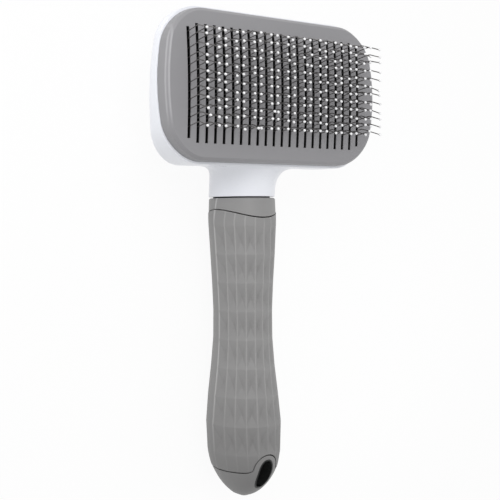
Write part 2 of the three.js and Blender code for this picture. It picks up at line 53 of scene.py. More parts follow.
# Pieces are shaped in millimetres from the crown of the face plate, at the middle of its slots,
# and placed in the frame when they are finished.
mm = 0.001
plateLow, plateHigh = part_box("face_plate")
headMiddle = Vector((0, (plateLow.y + plateHigh.y) / 2, plateHigh.z))
toFrame = Matrix.Translation(headMiddle) @ Matrix.Scale(mm, 4)


def boxInHead(node):
    low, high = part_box(node)
    return (low - headMiddle) / mm, (high - headMiddle) / mm


class Signal:
    # one output of a node, with the operators that the finishes use
    def __init__(self, finish, socket):
        self.finish = finish
        self.socket = socket

    def join(self, operation, first, second):
        return self.finish.node("ShaderNodeMath", {"operation": operation}, {0: first, 1: second})

    def __add__(self, other):
        return self.join("ADD", self, other)

    def __radd__(self, other):
        return self.join("ADD", other, self)

    def __sub__(self, other):
        return self.join("SUBTRACT", self, other)

    def __rsub__(self, other):
        return self.join("SUBTRACT", other, self)

    def __mul__(self, other):
        return self.join("MULTIPLY", self, other)

    def __rmul__(self, other):
        return self.join("MULTIPLY", other, self)

    def __truediv__(self, other):
        return self.join("DIVIDE", self, other)

    def size(self):
        return self.join("ABSOLUTE", self, 0)

    # 0 below the first level and 1 above the second, smooth between
    def step(self, first, second):
        return self.finish.node("ShaderNodeMapRange", {"interpolation_type": "SMOOTHSTEP"},
                                {"Value": self, "From Min": first, "From Max": second})


class Finish:
    def __init__(self, name, roughness=0.5, metallic=0.0, **fixed):
        self.material = bpy.data.materials.new(name)
        self.material.use_nodes = True
        self.tree = self.material.node_tree
        self.shader = self.tree.nodes["Principled BSDF"]
        self.set("Roughness", roughness)
        self.set("Metallic", metallic)
        for socket, value in fixed.items():
            self.set(socket.replace("_", " "), value)

    def feed(self, socket, value):
        if isinstance(value, Signal):
            self.tree.links.new(value.socket, socket)
        else:
            socket.default_value = value

    def set(self, socket, value):
        self.feed(self.shader.inputs[socket], value)

    # any node: its type, its settings, then the values or signals of its sockets
    def node(self, kind, settings=None, values=None, output=0):
        made = self.tree.nodes.new(kind)
        for key, value in (settings or {}).items():
            setattr(made, key, value)
        for key, value in (values or {}).items():
            self.feed(made.inputs[key], value)
        return Signal(self, made.outputs[output])

    # where a point of the piece is, in millimetres, stretched by a factor along each axis
    def place(self, stretch=(1, 1, 1)):
        where = self.node("ShaderNodeTexCoord", output="Object")
        return self.node("ShaderNodeMapping", {"vector_type": "POINT"},
                         {"Vector": where, "Scale": [s / mm for s in stretch]})

    # the same as three numbers, from the crown of the face plate
    def axes(self):
        there = self.node("ShaderNodeVectorMath", {"operation": "SUBTRACT"},
                          {0: self.place(), 1: list(headMiddle / mm)})
        return [self.node("ShaderNodeSeparateXYZ", None, {0: there}, output=i) for i in range(3)]

    def noise(self, size, detail=2.0, stretch=(1, 1, 1), roughness=0.5):
        return self.node("ShaderNodeTexNoise", {"noise_dimensions": "3D"},
                         {"Vector": self.place(stretch), "Scale": 1 / size, "Detail": detail,
                          "Roughness": roughness})

    def blendColors(self, share, first, second):
        first, second = (c if isinstance(c, Signal) else (*c, 1) for c in (first, second))
        # a Mix node's color sockets are inputs 6 and 7, and output 2
        sockets = {0: share, 6: first, 7: second}
        return self.node("ShaderNodeMix", {"data_type": "RGBA"}, sockets, output=2)

    def bump(self, height, depth):
        self.set("Normal", self.node("ShaderNodeBump", None,
                                     {"Height": height, "Distance": depth * mm, "Strength": 1.0}))


# Sizes in millimetres, and how far grain, patches and drawn lines change colour and roughness.
texture = {
    "patch": 9, "patchRough": 0.08, "detail": 3, "grainShare": 0.5, "grainLight": 4,
    "grainRough": 0.12, "grainFade": 0.6,
    "drawnLine": 0.12, "drawnStretch": 0.05, "drawnRough": 0.15,
}


def lighter(color, share):
    return tuple(min(1.0, c * (1 + share)) for c in color)


def mouldedPlastic(name, color, roughness, mottle, grain, grainDepth, *marks, **fixed):
    finish = Finish(name, **fixed)
    patches = finish.noise(texture["patch"], texture["detail"])
    tone = finish.blendColors(patches, lighter(color, -mottle), lighter(color, mottle))
    fine = finish.noise(grain, texture["detail"], roughness=texture["grainFade"])
    speck = lighter(color, texture["grainLight"] * mottle)
    tone = finish.blendColors(texture["grainShare"] * fine, tone, speck)
    for mark in marks:
        share, change = mark(finish)
        tone = finish.blendColors(share, tone, lighter(color, change))
    finish.set("Base Color", tone)
    finish.set("Roughness", roughness + texture["grainRough"] * (fine - 0.5)
               + texture["patchRough"] * (patches - 0.5))
    finish.bump(fine, grainDepth)
    return finish.material


def drawnWire(name, color, roughness, streak):
    finish = Finish(name, metallic=1.0)
    lines = finish.noise(texture["drawnLine"], stretch=(1, 1, texture["drawnStretch"]))
    finish.set("Base Color", finish.blendColors(lines, lighter(color, -streak), lighter(color, streak)))
    finish.set("Roughness", roughness + texture["drawnRough"] * (lines - 0.5))
    return finish.material


# Where a point of the plate is: across, along, and down from its crowned face.
def placeOnPlate(finish):
    x, y, z = finish.axes()
    return x, y, -1 * (z + y * y * (plate["crown"] / plate["slotHalf"] ** 2))


# Painted highlight along the two edges of the plate's chamfer, at the ends of the head.
def chamferHighlight(finish):
    x, y, depth = placeOnPlate(finish)
    innerCore, outerCore = plate["highlightCore"]
    halfWidth = (plateHigh.x - plateLow.x) / 2 / mm - plate["flare"]
    inset = halfWidth - y * y / (2 * endBow) - x.size()
    inner = (inset - plate["bevel"]).size().step(innerCore, plate["highlightWidth"])
    outer = (depth - plate["bevel"]).size().step(outerCore, plate["highlightWidth"])
    nearEnd = 1 - inset.step(*plate["highlightReach"])
    fadeFrom = plate["highlightHalf"] - plate["highlightFade"]
    alongEnd = 1 - (y - plate["highlightAt"]).size().step(fadeFrom, plate["highlightHalf"])
    return (1 - inner * outer) * (nearEnd * alongEnd), plate["highlight"]


# The insides of the plate's slots, where little light reaches.
def slotShade(finish):
    x, y, depth = placeOnPlate(finish)
    halfX = slotX(plate["slots"] - 1) + plate["slotMargin"]
    halfY = plate["slotHalf"] + plate["slotEndMargin"]
    acrossX = 1 - x.size().step(halfX, halfX + plate["shadeFade"])
    acrossY = 1 - y.size().step(halfY, halfY + plate["shadeFade"])
    return depth.step(*plate["shadeFrom"]) * acrossX * acrossY, plate["shade"]


# The angle of a point round the handle from its front, in degrees.
def turnOf(finish):
    return finish.node("ShaderNodeAttribute", {"attribute_name": "turn"}, output=2)


# The handle grows a little darker towards its end, in place of light that falls off there.
def heelShade(finish):
    along = -1 * finish.axes()[1]
    return along.step(*handle["shadeFrom"]), -handle["shade"]


# Painted highlight along the edge where the handle's front half meets its back half.
def rimHighlight(finish):
    away = (turnOf(finish) - grip["edgeTurn"]).size()
    return 1 - away.step(grip["rimCore"] * grip["rimWidth"], grip["rimWidth"]), grip["rimHighlight"]


# Painted highlight on the same edge and on the ridges between the grip's columns of facets.
def ridgeAndRimHighlight(finish):
    turn = turnOf(finish)
    column, width = grip["columnTurn"], grip["ridgeHighlightWidth"]
    away = finish.node("ShaderNodeMath", {"operation": "WRAP"},
                       {0: turn, 1: column / 2, 2: -column / 2}).size()
    onFacets = 1 - turn.step(*(last * column for last in grip["ridgeHighlightColumns"]))
    ridges = (1 - away.step(grip["ridgeHighlightCore"] * width, width)) * onFacets
    rim, change = rimHighlight(finish)
    return ridges * (grip["ridgeHighlight"] / change) + rim, change


def slotX(index):
    return (index - (plate["slots"] - 1) / 2) * plate["slotPitch"]


# The pieces' sizes are in millimetres and their turns in degrees.
endBow = 82  # radius of the bow of the head's two ends
plate = {
    "corner": 14, "cornerSteps": 16, "flare": 0.3, "skirt": 6.0, "wall": 2.0, "face": 2.2,
    "bevel": 1.2, "edgeRound": 0.38, "edgeSteps": 3, "flatEdge": 3, "innerBevel": 0.9,
    "crown": 0.85, "crownStep": 2.2,
    "slots": 22, "slotPitch": 4.0, "slotWidth": 1.3, "slotHalf": 22.2, "outerSlotHalf": 20.6,
    "slotRound": 0.07, "cutMiddle": -1.5, "cutTall": 6,
    "postX": 20, "postY": 24.1, "postRadius": 2.0, "postSides": 24,
    # edges that turn by more degrees than this are rounded, or shaded as sharp
    "roundOver": 60, "sharpOver": 50, "normalWeight": 60,
    # painted highlight on the chamfer's edges: how much, how wide, where along the ends
    "highlight": 0.4, "highlightWidth": 0.5, "highlightCore": (0.15, 0.12), "highlightReach": (2, 3), "highlightAt": 3,
    "highlightHalf": 21, "highlightFade": 9,
    # dark slots: how much, from which depth, how far past the slots
    "shade": -0.97, "shadeFrom": (0.12, 0.5), "slotMargin": 1, "slotEndMargin": 0.1, "shadeFade": 0.3,
}
handle = {
    "axisZ": -25.5,
    # distance, half width, depth in front of and behind the axis
    "stations": [
        [36, 13.0, 14.7, 14.6], [50, 13.5, 15.3, 15.0], [60, 12.9, 15.6, 14.7], [72, 12.1, 14.85, 14.35],
        [84, 11.45, 14.2, 14.05], [95, 11.2, 13.95, 13.95], [107, 11.8, 14.45, 14.9],
        [119, 13.2, 15.5, 16.3], [131, 14.6, 16.65, 17.0], [138, 14.9, 17.1, 17.1],
        [146, 14.3, 17.1, 16.97], [153, 12.7, 16.0, 15.9], [158, 10.5, 13.3, 13.3], [162, 7.8, 9.6, 9.6],
        [164.6, 4.9, 5.9, 5.9], [166.2, 1.6, 1.9, 1.9],
    ],
    "neckEnd": 41.55, "collarStart": 42.1, "collarRound": 0.7, "collarRoundSteps": 5, "collarEnd": 53,
    "collarDip": 49.8, "collarSides": 46.4, "collarHalf": 13.6,
    "partStep": 0.35, "partTurn": 1.6, "frontSteps": 50, "backSteps": 40, "smoothStep": 1.2,
    # the hard core under the sleeve, and its spigot, coloured black as painted shade in the gap under
    # the neck
    "coreStart": 43.6, "coreEnd": 156, "coreStep": 4, "coreSides": 48,
    "spigotStart": 38.5, "spigotEnd": 43.4, "spigotSink": -2.1,
    "heelStart": 140, "heelEnd": 162, "tipStart": 162.5, "tipStep": 0.4,
    "heelRound": 0.3, "roundOver": 50, "sharpOver": 40,
    # the rim leans forward near the collar, in degrees for each millimetre; darker towards the end
    "rimLean": 0.75, "rimLeanEnd": 52, "shade": 0.28, "shadeFrom": (108, 172),
    # cutting prisms: lowest point and height
    "cutLow": -60, "cutTall": 75,
}
grip = {
    "thick": 2.4, "proud": 0.2, "groove": 0.5, "start": 44.4, "end": 154, "past": 3,
    "firstRow": 53.5, "rowPitch": 11.63, "rows": 8, "upperStep": 2.5, "lowerStep": 1.5,
    "columns": 10, "columnTurn": 17.4, "edgeTurn": 93.1,
    "sink": 1.6, "sinkAt": 0.04, "ridge": 0.18, "roundOver": 5, "sharpOver": 30,
    "boreRoom": 0.1, "boreStart": 40, "boreEnd": 160,
    # painted highlight on the ridges and the rim: how light, how wide, how much of that is full, and the
    # columns where it ends
    "ridgeHighlight": 0.25, "ridgeHighlightWidth": 1.8, "ridgeHighlightCore": 0.2, "ridgeHighlightColumns": (4.3, 4.4),
    "rimHighlight": 0.7, "rimWidth": 2.6, "rimCore": 0.3,
}
hangHole = {
    "start": 148.5, "end": 161.3, "halfWidth": 3.6, "fullness": 0.85, "steps": 56, "room": 0.1,
    "wall": 0.5, "sides": 80, "sink": 0.05, "sharpOver": 40,
    "archMargin": 1.7, "archFoot": 3.4, "archBulge": 0.5, "footSteps": 8, "archSteps": 24,
}

# name, color, roughness, mottling, grain size, grain depth, then marks and fixed sockets
finishes = {
    "plateGrey": mouldedPlastic("plateGrey", (0.264, 0.261, 0.272), 0.42, 0.03, 0.25, 0.010,
                                chamferHighlight, slotShade),
    "buttonGrey": mouldedPlastic("buttonGrey", (0.28, 0.278, 0.28), 0.5, 0.03, 0.25, 0.012),
    "shellWhite": mouldedPlastic("shellWhite", (0.81, 0.825, 0.87), 0.3, 0.012, 0.5, 0.004,
                                 Coat_Weight=0.15, Coat_Roughness=0.2),
    "gripGrey": mouldedPlastic("gripGrey", (0.246, 0.243, 0.242), 0.55, 0.04, 0.18, 0.016,
                               ridgeAndRimHighlight, heelShade),
    "handleGrey": mouldedPlastic("handleGrey", (0.259, 0.256, 0.255), 0.5, 0.03, 0.22, 0.012,
                                 rimHighlight, heelShade),
    "frameBlack": mouldedPlastic("frameBlack", (0.006, 0.006, 0.0065), 0.6, 0.1, 0.3, 0.015,
                                 Specular_IOR_Level=0.25),
    "linerBlack": mouldedPlastic("linerBlack", (0.008, 0.009, 0.009), 0.45, 0.1, 0.3, 0.015),
    "pinTip": mouldedPlastic("pinTip", (0.86, 0.86, 0.87), 0.25, 0.02, 0.4, 0.002),
    "pinWire": drawnWire("pinWire", (0.26, 0.25, 0.245), 0.4, 0.25),
    "springSteel": drawnWire("springSteel", (0.45, 0.455, 0.46), 0.28, 0.15),
    "screwSteel": drawnWire("screwSteel", (0.4, 0.4, 0.41), 0.32, 0.1),
}
print("finishes:", len(finishes))


def newObject(name, bm, materials):
    mesh = bpy.data.meshes.new(name)
    bm.to_mesh(mesh)
    bm.free()
    for material in materials:
        mesh.materials.append(finishes[material])
    piece = bpy.data.objects.new(name, mesh)
    bpy.context.scene.collection.objects.link(piece)
    return piece


def modify(piece, kind, **settings):
    modifier = piece.modifiers.new(kind.lower(), kind)
    for key, value in settings.items():
        setattr(modifier, key, value)


# the piece's mesh with its modifiers applied
def settle(piece):
    graph = bpy.context.evaluated_depsgraph_get()
    mesh = bpy.data.meshes.new_from_object(piece.evaluated_get(graph), preserve_all_data_layers=True,
                                           depsgraph=graph)
    piece.modifiers.clear()
    piece.data = mesh
    return piece


# rounds the edges that turn by more than an angle
def roundEdges(piece, width, degrees, segments=2):
    modify(piece, "BEVEL", width=width, segments=segments, limit_method="ANGLE",
           angle_limit=math.radians(degrees))
    return settle(piece)


def shadeByAngle(piece, degrees):
    piece.data.shade_smooth()
    piece.data.set_sharp_from_angle(angle=math.radians(degrees))


def remove(*pieces):
    for piece in pieces:
        bpy.data.objects.remove(piece)


def cut(piece, tool, operation="DIFFERENCE"):
    modify(piece, "BOOLEAN", object=tool, operation=operation, solver="EXACT")
    settle(piece)
    remove(tool)


# several pieces as one, under the first one's name
def merge(piece, *others):
    bm = bmesh.new()
    for part in (piece, *others):
        bm.from_mesh(part.data)
    bm.to_mesh(piece.data)
    bm.free()
    remove(*others)
    return piece


# from millimetres in the head to the frame, then onto a body, in place of CAD nodes
def mount(piece, body, nodes):
    piece.data.transform(toFrame)
    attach(piece, body)
    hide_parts(*nodes)
    print("made", piece.name, len(piece.data.polygons), "faces")


def allOf(bm):
    return bm.verts[:] + bm.edges[:] + bm.faces[:]


def facesOf(verts):
    return list({f for v in verts for f in v.link_faces})


def edgesOf(verts):
    return list({e for v in verts for e in v.link_edges})


def vertsIn(geometry):
    return [g for g in geometry if isinstance(g, bmesh.types.BMVert)]


def edgesIn(geometry):
    return [g for g in geometry if isinstance(g, bmesh.types.BMEdge)]


def fill(bm, ring):
    return bmesh.ops.contextual_create(bm, geom=ring)["faces"][0]


# a closed ring of edges through points
def ringThrough(bm, points):
    verts = bmesh.ops.create_circle(bm, segments=len(points), radius=1)["verts"]
    for vert, point in zip(verts, points):
        vert.co = point
    return edgesOf(verts)


# a closed form through a row of rings
def loft(bm, rings):
    for first, second in zip(rings, rings[1:]):
        bmesh.ops.bridge_loops(bm, edges=first + second)
    fill(bm, rings[0])
    fill(bm, rings[-1])


# a face drawn out into a closed solid
def pullUp(bm, face, tall):
    pulled = bmesh.ops.extrude_face_region(bm, geom=[face])["geom"]
    bmesh.ops.translate(bm, verts=vertsIn(pulled), vec=(0, 0, tall))
    bmesh.ops.recalc_face_normals(bm, faces=bm.faces)


def sliceBy(bm, point, normal, **clear):
    return bmesh.ops.bisect_plane(bm, geom=allOf(bm), plane_co=point, plane_no=normal, **clear)


def hermite(stations, at):
    # smooth values between rows of [place, value, value ...]
    last = len(stations) - 2
    i = min(max(sum(row[0] <= at for row in stations) - 1, 0), last)
    before, here, there, after = (stations[max(0, min(k, last + 1))] for k in (i - 1, i, i + 1, i + 2))
    span = there[0] - here[0]
    t = (at - here[0]) / span
    values = []
    for k in range(1, len(here)):
        leave = (there[k] - before[k]) / (there[0] - before[0]) * span
        arrive = (after[k] - here[k]) / (after[0] - here[0]) * span
        values.append((2 * t**3 - 3 * t**2 + 1) * here[k] + (t**3 - 2 * t**2 + t) * leave
                      + (3 * t**2 - 2 * t**3) * there[k] + (t**3 - t**2) * arrive)
    return values


# A rounded rectangle as a ring of edges; with a bow its ends bulge, as the head's do.
def roundedRing(bm, halfWidth, halfHeight, corner, z, bow=None, steps=12, sideSteps=6):
    points = []
    for k, (signX, signY) in enumerate(((1, 1), (-1, 1), (-1, -1), (1, -1))):
        for i in range(steps + 1):
            turn = (k + i / steps) * math.pi / 2
            points.append((signX * (halfWidth - corner) + corner * math.cos(turn),
                           signY * (halfHeight - corner) + corner * math.sin(turn)))
        if k in (1, 3):
            x, y = points[-1]
            points += [(x, y * (1 - 2 * i / sideSteps)) for i in range(1, sideSteps)]
    if bow:
        points = [(x * (1 - y**2 / (2 * bow * halfWidth)), y) for x, y in points]
    return ringThrough(bm, [(x, y, z) for x, y in points])


def slotHalf(index):
    outer = index in (0, plate["slots"] - 1)
    return plate["outerSlotHalf"] if outer else plate["slotHalf"]


# Corners of a profile, each rounded to a few points.
def roundCorners(points, radius, steps):
    smooth = [points[0]]
    for before, corner, after in zip(points, points[1:], points[2:]):
        start, turn, end = (Vector(p) for p in (before, corner, after))
        inward, outward = (start - turn).normalized(), (end - turn).normalized()
        reach = radius * math.tan((math.pi - inward.angle(outward)) / 2)
        first, last = turn + inward * reach, turn + outward * reach
        for i in range(steps + 1):
            t = i / steps
            smooth.append((1 - t) ** 2 * first + 2 * t * (1 - t) * turn + t**2 * last)
    return [*smooth, points[-1]]


# The closed wall of the plate: rings down its outside and back up its inside.
def plateBlank(bm, halfWidth, halfHeight):
    wall, skirt, bevel, flare = (plate[key] for key in ("wall", "skirt", "bevel", "flare"))
    face, slant = plate["face"], plate["innerBevel"]
    corners = [(bevel + plate["flatEdge"], 0), (bevel, 0), (0, -bevel), (-flare, -skirt)]
    outside = roundCorners(corners, plate["edgeRound"], plate["edgeSteps"])
    inside = [(wall - flare, -skirt), (wall, -face - slant), (wall + slant, -face)]
    rings = [roundedRing(bm, halfWidth - inset, halfHeight - inset, plate["corner"] - inset, z,
                         bow=endBow, steps=plate["cornerSteps"]) for inset, z in [*outside, *inside]]
    loft(bm, rings)
    levels = int(halfHeight / plate["crownStep"])
    for k in range(-levels, levels + 1):
        sliceBy(bm, (0, k * plate["crownStep"], 0), (0, 1, 0))
    bmesh.ops.recalc_face_normals(bm, faces=bm.faces)


def crownPlate(bm):
    skirt, bevel = plate["skirt"], plate["bevel"]
    for vert in bm.verts:
        fall = plate["crown"] * (vert.co.y / plate["slotHalf"]) ** 2
        share = min(1.0, 1 + (vert.co.z + bevel) / (skirt - bevel))
        vert.co.z -= fall * share


def slotTool():
    bm = bmesh.new()
    for i in range(plate["slots"]):
        spot = Matrix.Translation((slotX(i), 0, plate["cutMiddle"]))
        size = Matrix.Diagonal((plate["slotWidth"], 2 * slotHalf(i), plate["cutTall"], 1))
        bmesh.ops.create_cube(bm, size=1, matrix=spot @ size)
    return newObject("slotTool", bm, [])


def makePosts(bottom):
    bm = bmesh.new()
    top = -plate["wall"]
    for x in (-plate["postX"], plate["postX"]):
        for y in (-plate["postY"], plate["postY"]):
            spot = Matrix.Translation((x, y, (bottom + top) / 2))
            bmesh.ops.create_cone(bm, cap_ends=True, segments=plate["postSides"],
                                  radius1=plate["postRadius"], radius2=plate["postRadius"],
                                  depth=top - bottom, matrix=spot)
    return newObject("platePosts", bm, ["plateGrey"])


def makeFacePlate():
    low, high = boxInHead("face_plate")
    halfWidth = high.x - plate["flare"]
    halfHeight = high.y - plate["flare"]
    bm = bmesh.new()
    plateBlank(bm, halfWidth, halfHeight)
    crownPlate(bm)
    piece = newObject("facePlate", bm, ["plateGrey"])
    cut(piece, slotTool())
    roundEdges(piece, plate["slotRound"], plate["roundOver"])
    merge(piece, makePosts(low.z))
    shadeByAngle(piece, plate["sharpOver"])
    modify(piece, "WEIGHTED_NORMAL", keep_sharp=True, weight=plate["normalWeight"])
    settle(piece)
    mount(piece, "ejector", ["face_plate"])


makeFacePlate()


pins = {
    "rows": 12, "rowsPerBed": 3, "rowPitch": 3.18, "columns": 22, "wire": 0.21, "sides": 6,
    "rootZ": -8.6, "kneeZ": 6.8, "tipZ": 12.88, "rootY": -1.26, "kneeY": 1.3, "tipY": -0.55,
    "rootX": -0.33, "tipX": 0.5,
    # the bend: where the straight root ends below the knee, then steps up and back from it
    "straightEnd": 1.2, "bend": [(-0.4, -0.13), (0.5, -0.16), (1.4, -0.4)],
    "ball": 0.54, "ballLong": 1.12, "ballAround": 8, "ballRings": 6,
    # how far the tips stray, and how far the few bent ones do
    "strayX": 0.14, "strayY": 0.3, "strayPower": 1.5, "bentShare": 0.12, "bentBy": 4.5, "bentByY": 2,
    "seed": 11,
    # the raised plate slides past everything below this height, which stays within its slot
    "plateReach": 10.1, "reachMargin": 0.1, "slotRoom": 0.4,
    "bedHalfWidth": 43.6, "bedTop": -8.0, "bedThick": 1.6, "bedGap": 0.1,
    "sharpOver": 60,
}


# how far up a pin a point is, from 0 at the root to 1 at the tip
def shareUp(z):
    return (z - pins["rootZ"]) / (pins["tipZ"] - pins["rootZ"])


def lean(z):
    return pins["rootX"] + (pins["tipX"] - pins["rootX"]) * shareUp(z)


# The middle line of a wire, seen from the side: root, straight part, bend, then straight to the tip.
def wirePath():
    p = pins
    slope = (p["kneeY"] - p["rootY"]) / (p["kneeZ"] - p["rootZ"])
    early = p["straightEnd"]
    bend = [(p["kneeZ"] + up, p["kneeY"] + back) for up, back in p["bend"]]
    bendZ, bendY = bend[-1]
    upper = (p["plateReach"] - bendZ) / (p["tipZ"] - bendZ)
    return [(p["rootZ"], p["rootY"]), (p["kneeZ"] - early, p["kneeY"] - early * slope), *bend,
            (p["plateReach"], bendY + (p["tipY"] - bendY) * upper), (p["tipZ"], p["tipY"])]


# One bent wire with its ball tip, leaning towards +X; every pin is a copy of it.
def pinPattern():
    p = pins
    bm = bmesh.new()
    path = wirePath()
    z, y = path[0]
    ring = bmesh.ops.create_circle(bm, segments=p["sides"], radius=p["wire"],
                                   matrix=Matrix.Translation((lean(z), y, z)))["verts"]
    edges = edgesOf(ring)
    for (z0, y0), (z1, y1) in zip(path, path[1:]):
        pulled = bmesh.ops.extrude_edge_only(bm, edges=edges)["geom"]
        edges = edgesIn(pulled)
        bmesh.ops.translate(bm, verts=vertsIn(pulled), vec=(lean(z1) - lean(z0), y1 - y0, z1 - z0))
    for face in bm.faces:
        face.material_index = 0
    tilt = Matrix.Rotation(math.atan2(p["kneeY"] - p["tipY"], p["tipZ"] - p["kneeZ"]), 4, "X")
    spot = Matrix.Translation((lean(p["tipZ"]), p["tipY"], p["tipZ"]))
    ball = bmesh.ops.create_uvsphere(bm, u_segments=p["ballAround"], v_segments=p["ballRings"],
                                     radius=p["ball"],
                                     matrix=spot @ tilt @ Matrix.Diagonal((1, 1, p["ballLong"], 1)))
    for face in facesOf(ball["verts"]):
        face.material_index = 1
    bmesh.ops.recalc_face_normals(bm, faces=bm.faces)
    mesh = bpy.data.meshes.new("pinPattern")
    bm.to_mesh(mesh)
    bm.free()
    return mesh


# Leans a pin to its side and lets its upper part stray.
def strayPin(verts, side, strayX, strayY):
    for vert in verts:
        share = max(0.0, shareUp(vert.co.z)) ** pins["strayPower"]
        aside = side * lean(vert.co.z) + strayX * share
        if vert.co.z < pins["plateReach"] + pins["reachMargin"]:
            aside = max(-pins["slotRoom"], min(pins["slotRoom"], aside))
        vert.co.x = side * (vert.co.x - lean(vert.co.z)) + aside
        vert.co.y += strayY * share


def addPin(bm, pattern, column, y):
    known = len(bm.verts)
    bm.from_mesh(pattern)
    bm.verts.ensure_lookup_table()
    added = bm.verts[known:]
    side = -1 if column % 2 == 0 else 1
    bent = pins["bentBy"] if random.random() < pins["bentShare"] else 1
    strayX = random.gauss(0, pins["strayX"]) * bent
    strayY = random.gauss(0, pins["strayY"]) * min(bent, pins["bentByY"])
    strayPin(added, side, strayX, strayY)
    if side < 0:
        bmesh.ops.reverse_faces(bm, faces=facesOf(added))
    bmesh.ops.translate(bm, verts=added, vec=(slotX(column), y, 0))


# The strip of black backing that a bed's pins stand in.
def addBacking(bm, middle, width):
    spot = Matrix.Translation((0, middle, pins["bedTop"] - pins["bedThick"] / 2))
    size = Matrix.Diagonal((2 * pins["bedHalfWidth"], width - pins["bedGap"], pins["bedThick"], 1))
    backing = bmesh.ops.create_cube(bm, size=1, matrix=spot @ size)["verts"]
    for face in facesOf(backing):
        face.material_index = 2


def makePinBeds():
    random.seed(pins["seed"])
    pattern = pinPattern()
    rowMiddle = (pins["rows"] - 1) / 2
    strip = pins["rowsPerBed"] * pins["rowPitch"]
    beds = pins["rows"] // pins["rowsPerBed"]
    for index in range(beds):
        bm = bmesh.new()
        for row in range(index * pins["rowsPerBed"], (index + 1) * pins["rowsPerBed"]):
            y = (row - rowMiddle) * pins["rowPitch"] - pins["rootY"]
            for column in range(pins["columns"]):
                addPin(bm, pattern, column, y)
        addBacking(bm, (index - beds / 2) * strip + strip / 2, strip)
        piece = newObject(f"pinBed{index + 1}", bm, ["pinWire", "pinTip", "frameBlack"])
        shadeByAngle(piece, pins["sharpOver"])
        mount(piece, "handle_and_pins", [f"pin_bed_{index + 1}"])
    bpy.data.meshes.remove(pattern)


makePinBeds()


def evenTurns(count):
    return [(2 * math.pi * i / count, 0) for i in range(count)]


# Where a ring's points lie: even steps over the front or its facets' edges, then even steps over
# the back, which is a little lower.
def partedTurns(front):
    step, edge = math.radians(handle["partTurn"]), math.radians(grip["edgeTurn"])
    turns = [(math.pi / 2 + turn, 0) for turn in front]
    start, back = math.pi / 2 + edge + step, 2 * (math.pi - edge - step)
    count = handle["backSteps"]
    return turns + [(start + back * i / count, -handle["partStep"]) for i in range(count + 1)]


def smoothFront():
    edge = math.radians(grip["edgeTurn"])
    return [edge * (2 * i / handle["frontSteps"] - 1) for i in range(handle["frontSteps"] + 1)]


def facetFront():
    half = [math.radians(grip["columnTurn"]) * i for i in range(grip["columns"] // 2)]
    half.append(math.radians(grip["edgeTurn"]))
    return [-turn for turn in reversed(half[1:])] + half


# One ring round the handle; its angles run from +X over +Z.
def handleRing(bm, station, grow, turns):
    halfWidth, front, back = hermite(handle["stations"], station)
    points = []
    for turn, sunk in turns:
        deep = front if math.sin(turn) > 0 else back
        points.append(((halfWidth + grow + sunk) * math.cos(turn), -station,
                       handle["axisZ"] + (deep + grow + sunk) * math.sin(turn)))
    return ringThrough(bm, points)


# A closed loft of the handle through rows of [station, grow].
def handleLoft(bm, rows, turns):
    loft(bm, [handleRing(bm, station, grow, turns) for station, grow in rows])
    bmesh.ops.recalc_face_normals(bm, faces=bm.faces)


def stationsFrom(start, end, step):
    count = max(1, round((end - start) / step))
    return [start + (end - start) * i / count for i in range(count + 1)]


# A tall prism with the given outline in X and Y, for cutting.
def cutter(name, points):
    bm = bmesh.new()
    face = bm.faces.new([bm.verts.new((x, y, handle["cutLow"])) for x, y in points])
    pullUp(bm, face, handle["cutTall"])
    return newObject(name, bm, [])


# Everything on the head's side of the collar's lower edge, whose middle dips.
def collarZone(extra):
    reach, top, steps = 20, -20, 40
    edge = []
    for i in range(steps + 1):
        x = -reach + 2 * reach * i / steps
        rise = (handle["collarDip"] - handle["collarSides"]) * (x / handle["collarHalf"]) ** 2
        edge.append((x, -handle["collarDip"] + rise - extra))
    return cutter("collarZone", [(reach, top), (-reach, top), *edge])


# Everything past the grip's lower edge, which arches over the hang hole.
def heelZone(extra):
    reach, below = 22, -190
    arc = hangHole["halfWidth"] + hangHole["archMargin"] + extra
    top = hangHole["start"] + hangHole["halfWidth"]
    end = grip["end"] - extra
    keys = ("archFoot", "archBulge", "footSteps", "archSteps")
    foot, bulge, footSteps, archSteps = (hangHole[key] for key in keys)
    arch = []
    for i in range(footSteps + 1):
        t = i / footSteps
        arch.append((-(arc + foot * (1 - t) ** 2 + bulge * t * (1 - t)),
                     -end + (end - top) * t**2))
    flank = list(arch)
    for i in range(1, archSteps):
        turn = math.pi - math.pi * i / archSteps
        arch.append((arc * math.cos(turn), -top + arc * math.sin(turn)))
    arch += [(-x, y) for x, y in reversed(flank)]
    return cutter("heelZone", [(-reach, below), (-reach, -end), *arch, (reach, -end), (reach, below)])


# The hang hole is a long oval with full sides.
def holeTool(grow):
    steps = hangHole["steps"]
    middle = -(hangHole["start"] + hangHole["end"]) / 2
    halfLength = (hangHole["end"] - hangHole["start"]) / 2 + grow
    halfWidth = hangHole["halfWidth"] + grow
    points = []
    for i in range(steps):
        turn = 2 * math.pi * i / steps
        c, d = math.cos(turn), math.sin(turn)
        points.append((math.copysign(abs(c) ** hangHole["fullness"], c) * halfWidth,
                       middle + math.copysign(abs(d) ** hangHole["fullness"], d) * halfLength))
    return cutter("holeTool", points)


def handlePart(name, rows, material, turns):
    bm = bmesh.new()
    handleLoft(bm, rows, turns)
    return newObject(name, bm, [material])


# Keeps every point's angle round the handle for the finishes.
def markTurns(piece):
    marks = piece.data.attributes.new("turn", "FLOAT", "POINT").data
    for vert, mark in zip(piece.data.vertices, marks):
        halfWidth, front, back = hermite(handle["stations"], -vert.co.y)
        rise = vert.co.z - handle["axisZ"]
        turn = math.degrees(math.atan2(abs(vert.co.x) / halfWidth, rise / (front if rise > 0 else back)))
        mark.value = turn + handle["rimLean"] * max(0.0, handle["rimLeanEnd"] + vert.co.y)


def heelRows(grow):
    body = stationsFrom(handle["heelStart"], handle["heelEnd"], handle["smoothStep"])
    tip = stationsFrom(handle["tipStart"], handle["stations"][-1][0], handle["tipStep"])
    return [(s, grow) for s in body + tip]
